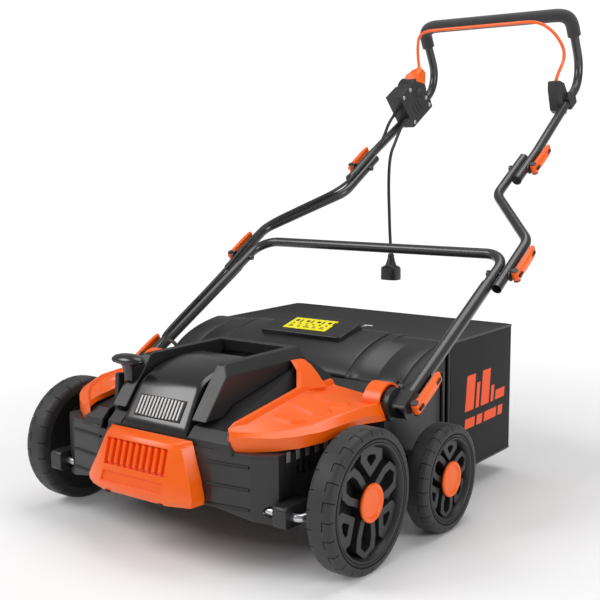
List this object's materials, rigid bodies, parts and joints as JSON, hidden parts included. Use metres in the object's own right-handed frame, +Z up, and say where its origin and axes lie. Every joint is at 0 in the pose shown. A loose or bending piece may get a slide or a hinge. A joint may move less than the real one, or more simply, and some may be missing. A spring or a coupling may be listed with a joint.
{
  "type": "lawn dethatcher",
  "caption": "Walk-behind electric lawn dethatcher: ribbed deck on small and large wheels, spring-tine rotor, rear catch bag and a folding tube handle with cam clamps.",
  "frame": {"origin": "on the ground, half-way along and across the machine", "axes": "+Z up, the machine's front faces -Y, +X is the machine's left"},
  "size_m": [0.6642, 1.2369, 0.9232],
  "materials": {
    "black_plastic": "satin",
    "orange_plastic": "gloss",
    "tyre_rubber": "matt",
    "tube_paint": "satin",
    "orange_steel": "gloss",
    "bright_steel": "satin",
    "vent_silver": "satin",
    "foam": "matt",
    "bag_fabric": "woven",
    "black_wire": "satin",
    "belt_rubber": "matt",
    "cord_pvc": "satin",
    "label": "printed"
  },
  "bodies": {
    "chassis": {"deck_housing": "black_plastic", "top_cover": "black_plastic", "motor_hood": "black_plastic", "hood_vent": "vent_silver", "carry_frame": "black_plastic", "front_grille": "orange_plastic", "side_fairings": "orange_plastic", "pivot_discs": "black_plastic", "motor_can": "bright_steel", "drive_belt": "belt_rubber", "belt_cover": "black_plastic", "rotor_bearings": "bright_steel", "axle_brackets": "black_plastic", "rear_axle": "bright_steel"},
    "front_crank": {"front_axle": "bright_steel", "depth_lever": "black_plastic"},
    "tine_rotor": {"rotor_shaft": "bright_steel", "tine_discs": "black_plastic", "spring_tines": "bright_steel"},
    "motor_rotor": {"motor_armature": "bright_steel"},
    "flap": {"rear_flap": "black_plastic", "warning_plate": "label"},
    "bag": {"catch_bag": "bag_fabric", "bag_frame": "black_wire"},
    "handle_lower": {"lower_legs": "tube_paint", "cross_tube": "tube_paint", "pivot_saddles": "black_plastic", "lower_clamp_bolts": "bright_steel"},
    "handle_middle": {"middle_tubes": "tube_paint", "middle_clamp_bolts": "bright_steel", "motor_lead": "cord_pvc"},
    "handle_upper": {"upper_tube": "tube_paint", "upper_tube_caps": "black_plastic", "foam_grip": "foam", "switch_box": "black_plastic", "bail_bracket": "black_plastic", "upper_clamp_bolts": "bright_steel", "cord_glands": "cord_pvc", "power_cord": "cord_pvc", "power_plug": "cord_pvc"},
    "bail": {"bail_rod": "orange_steel"},
    "lock_off": {"lock_button": "black_plastic"},
    "front_wheel_left": {"front_tyre_left": "tyre_rubber", "front_rim_left": "black_plastic", "front_hub_cap_left": "orange_plastic"},
    "rear_wheel_left": {"rear_tyre_left": "tyre_rubber", "rear_rim_left": "black_plastic", "rear_hub_cap_left": "orange_plastic"},
    "front_wheel_right": {"front_tyre_right": "tyre_rubber", "front_rim_right": "black_plastic", "front_hub_cap_right": "orange_plastic"},
    "rear_wheel_right": {"rear_tyre_right": "tyre_rubber", "rear_rim_right": "black_plastic", "rear_hub_cap_right": "orange_plastic"},
    "lower_cam_left": {"lower_cam_lever_left": "orange_plastic"},
    "lower_cam_right": {"lower_cam_lever_right": "orange_plastic"},
    "middle_cam_left": {"middle_cam_lever_left": "orange_plastic"},
    "middle_cam_right": {"middle_cam_lever_right": "orange_plastic"},
    "upper_cam_left": {"upper_cam_lever_left": "orange_plastic"},
    "upper_cam_right": {"upper_cam_lever_right": "orange_plastic"}
  },
  "joints": [
    {"name": "depth_setting", "type": "hinge", "parent": "chassis", "child": "front_crank", "pos_m": [0, -0.5445, 0.1], "axis": [1, 0, 0], "range_deg": [0, 12]},
    {"name": "front_wheel_spin_left", "type": "hinge", "parent": "front_crank", "child": "front_wheel_left", "pos_m": [0.298, -0.4495, 0.108], "axis": [1, 0, 0], "continuous": true},
    {"name": "rear_wheel_spin_left", "type": "hinge", "parent": "chassis", "child": "rear_wheel_left", "pos_m": [0.31, -0.2295, 0.088], "axis": [1, 0, 0], "continuous": true},
    {"name": "front_wheel_spin_right", "type": "hinge", "parent": "front_crank", "child": "front_wheel_right", "pos_m": [-0.298, -0.4495, 0.108], "axis": [1, 0, 0], "continuous": true},
    {"name": "rear_wheel_spin_right", "type": "hinge", "parent": "chassis", "child": "rear_wheel_right", "pos_m": [-0.31, -0.2295, 0.088], "axis": [1, 0, 0], "continuous": true},
    {"name": "rotor_spin", "type": "hinge", "parent": "chassis", "child": "tine_rotor", "pos_m": [0, -0.3445, 0.084], "axis": [1, 0, 0], "continuous": true},
    {"name": "motor_spin", "type": "hinge", "parent": "chassis", "child": "motor_rotor", "pos_m": [0, -0.4745, 0.188], "axis": [1, 0, 0], "continuous": true},
    {"name": "flap_hinge", "type": "hinge", "parent": "chassis", "child": "flap", "pos_m": [0, -0.2615, 0.236], "axis": [1, 0, 0], "range_deg": [0, 50]},
    {"name": "bag_slide", "type": "slide", "parent": "chassis", "child": "bag", "axis": [0, 1, 0], "range_m": [0, 0.3]},
    {"name": "lower_fold", "type": "hinge", "parent": "chassis", "child": "handle_lower", "pos_m": [0, -0.3065, 0.217], "axis": [-1, 0, 0], "range_deg": [-100, 0], "deforming": ["motor_lead"]},
    {"name": "middle_fold", "type": "hinge", "parent": "handle_lower", "child": "handle_middle", "pos_m": [0, 0.00212, 0.39446], "axis": [1, 0, 0], "range_deg": [0, 140], "deforming": ["motor_lead"]},
    {"name": "upper_fold", "type": "hinge", "parent": "handle_middle", "child": "handle_upper", "pos_m": [0, 0.30235, 0.57629], "axis": [-1, 0, 0], "range_deg": [-150, 0], "deforming": ["motor_lead"]},
    {"name": "bail_pull", "type": "hinge", "parent": "handle_upper", "child": "bail", "pos_m": [0, 0.50229, 0.74999], "axis": [-1, 0, 0], "range_deg": [0, 28], "stiffness_Nm_per_rad": 0.6, "springref_deg": -28.65},
    {"name": "lock_press", "type": "slide", "parent": "handle_upper", "child": "lock_off", "axis": [1, 0, 0], "range_m": [0, 0.003], "stiffness_N_per_m": 400, "springref_m": -0.002},
    {"name": "lower_cam_left_turn", "type": "hinge", "parent": "handle_lower", "child": "lower_cam_left", "pos_m": [0.3067, -0.3065, 0.217], "axis": [0, 0.4985, -0.8669], "range_deg": [0, 110]},
    {"name": "lower_cam_right_turn", "type": "hinge", "parent": "handle_lower", "child": "lower_cam_right", "pos_m": [-0.3067, -0.3065, 0.217], "axis": [0, -0.4985, 0.8669], "range_deg": [0, 110]},
    {"name": "middle_cam_left_turn", "type": "hinge", "parent": "handle_middle", "child": "middle_cam_left", "pos_m": [0.3246, 0.00212, 0.39446], "axis": [0, 0.518, -0.8554], "range_deg": [0, 110]},
    {"name": "middle_cam_right_turn", "type": "hinge", "parent": "handle_middle", "child": "middle_cam_right", "pos_m": [-0.3246, 0.00212, 0.39446], "axis": [0, -0.518, 0.8554], "range_deg": [0, 110]},
    {"name": "upper_cam_left_turn", "type": "hinge", "parent": "handle_upper", "child": "upper_cam_left", "pos_m": [0.2201, 0.30235, 0.57629], "axis": [0, 0.518, -0.8554], "range_deg": [0, 110]},
    {"name": "upper_cam_right_turn", "type": "hinge", "parent": "handle_upper", "child": "upper_cam_right", "pos_m": [-0.2201, 0.30235, 0.57629], "axis": [0, -0.518, 0.8554], "range_deg": [0, 110]}
  ],
  "couplings": [
    {"joint": "motor_spin", "follows": "rotor_spin", "ratio": 2.5}
  ]
}
